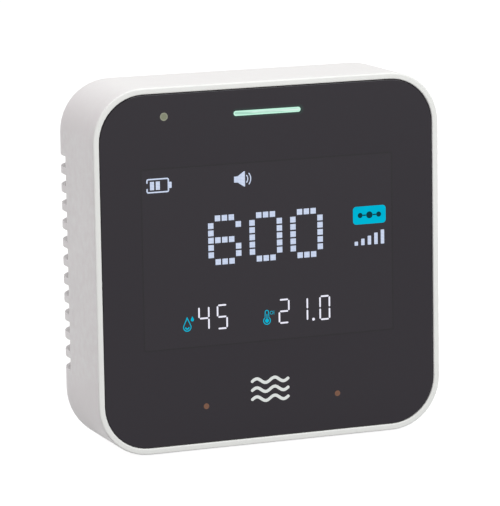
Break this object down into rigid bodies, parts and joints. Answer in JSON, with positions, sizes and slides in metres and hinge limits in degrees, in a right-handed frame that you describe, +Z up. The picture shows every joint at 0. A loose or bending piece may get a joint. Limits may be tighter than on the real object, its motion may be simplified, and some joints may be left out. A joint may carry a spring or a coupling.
{
  "type": "air quality monitor",
  "caption": "Square indoor air quality monitor with a tinted front window, an LED display, rear side vents, keyhole wall hanging and a rear push button.",
  "frame": {"origin": "middle of the body's footprint, on the surface that the rubber feet stand on", "axes": "+Z up, the window faces -Y, +X to the right as seen from the front"},
  "size_m": [0.1, 0.0376, 0.1002],
  "materials": {
    "white_plastic": "fine-textured moulded white ABS",
    "tinted_window": "polished black-tinted sheet",
    "black_plastic": "moulded black plastic",
    "black_film": "printed black film",
    "black_foam": "closed-cell foam",
    "black_rubber": "soft rubber",
    "green_light": "lit diffusing plastic",
    "sensor_eye": "clear light guide",
    "amber_light": "dim amber light guide",
    "display_white": "lit display elements",
    "display_cyan": "lit blue display elements",
    "print_grey": "printed grey symbol",
    "led_body": "moulded lamp body",
    "button_plastic": "moulded grey plastic",
    "white_component": "moulded cream plastic",
    "circuit_board": "green solder mask",
    "battery_foil": "laminated foil pouch",
    "bright_steel": "plated steel"
  },
  "bodies": {
    "case": {"battery": "battery_foil", "battery_lead": "black_rubber", "battery_pad": "black_foam", "battery_socket": "white_component", "board_screw_1": "bright_steel", "board_screw_2": "bright_steel", "board_screw_3": "bright_steel", "board_screw_4": "bright_steel", "buzzer": "black_plastic", "case_screw_1": "bright_steel", "case_screw_2": "bright_steel", "case_screw_3": "bright_steel", "case_screw_4": "bright_steel", "charging_board": "circuit_board", "charging_board_screw_1": "bright_steel", "charging_board_screw_2": "bright_steel", "chassis": "black_plastic", "co2_membrane": "white_component", "co2_sensor": "white_component", "controller": "black_plastic", "display_board": "circuit_board", "display_case": "black_plastic", "display_header": "black_plastic", "display_mask": "black_film", "foot_1": "black_rubber", "foot_2": "black_rubber", "foot_3": "black_rubber", "foot_4": "black_rubber", "housing": "white_plastic", "humidity_sensor": "black_plastic", "light_sensor": "black_plastic", "light_sensor_pipe": "sensor_eye", "main_board": "circuit_board", "power_switch": "black_plastic", "rear_cover": "white_plastic", "ribbon_lead": "white_component", "ribbon_socket_main": "black_plastic", "ribbon_socket_rear": "black_plastic", "status_led_1": "led_body", "status_led_2": "led_body", "status_led_3": "led_body", "status_light_bar": "green_light", "touch_led_left": "led_body", "touch_led_right": "led_body", "touch_light_pipe_left": "amber_light", "touch_light_pipe_right": "amber_light", "touch_pad_left": "black_foam", "touch_pad_right": "black_foam", "usb_socket": "bright_steel", "usb_tongue": "black_plastic", "window": "tinted_window", "window_gasket": "black_foam"},
    "button": {"power_button": "button_plastic", "switch_plunger": "white_component"}
  },
  "joints": [
    {"name": "power_button_press", "type": "slide", "parent": "case", "child": "button", "axis": [0, -1, 0], "range_m": [0, 0.0004], "stiffness_N_per_m": 4000, "springref_m": -0.0003}
  ]
}
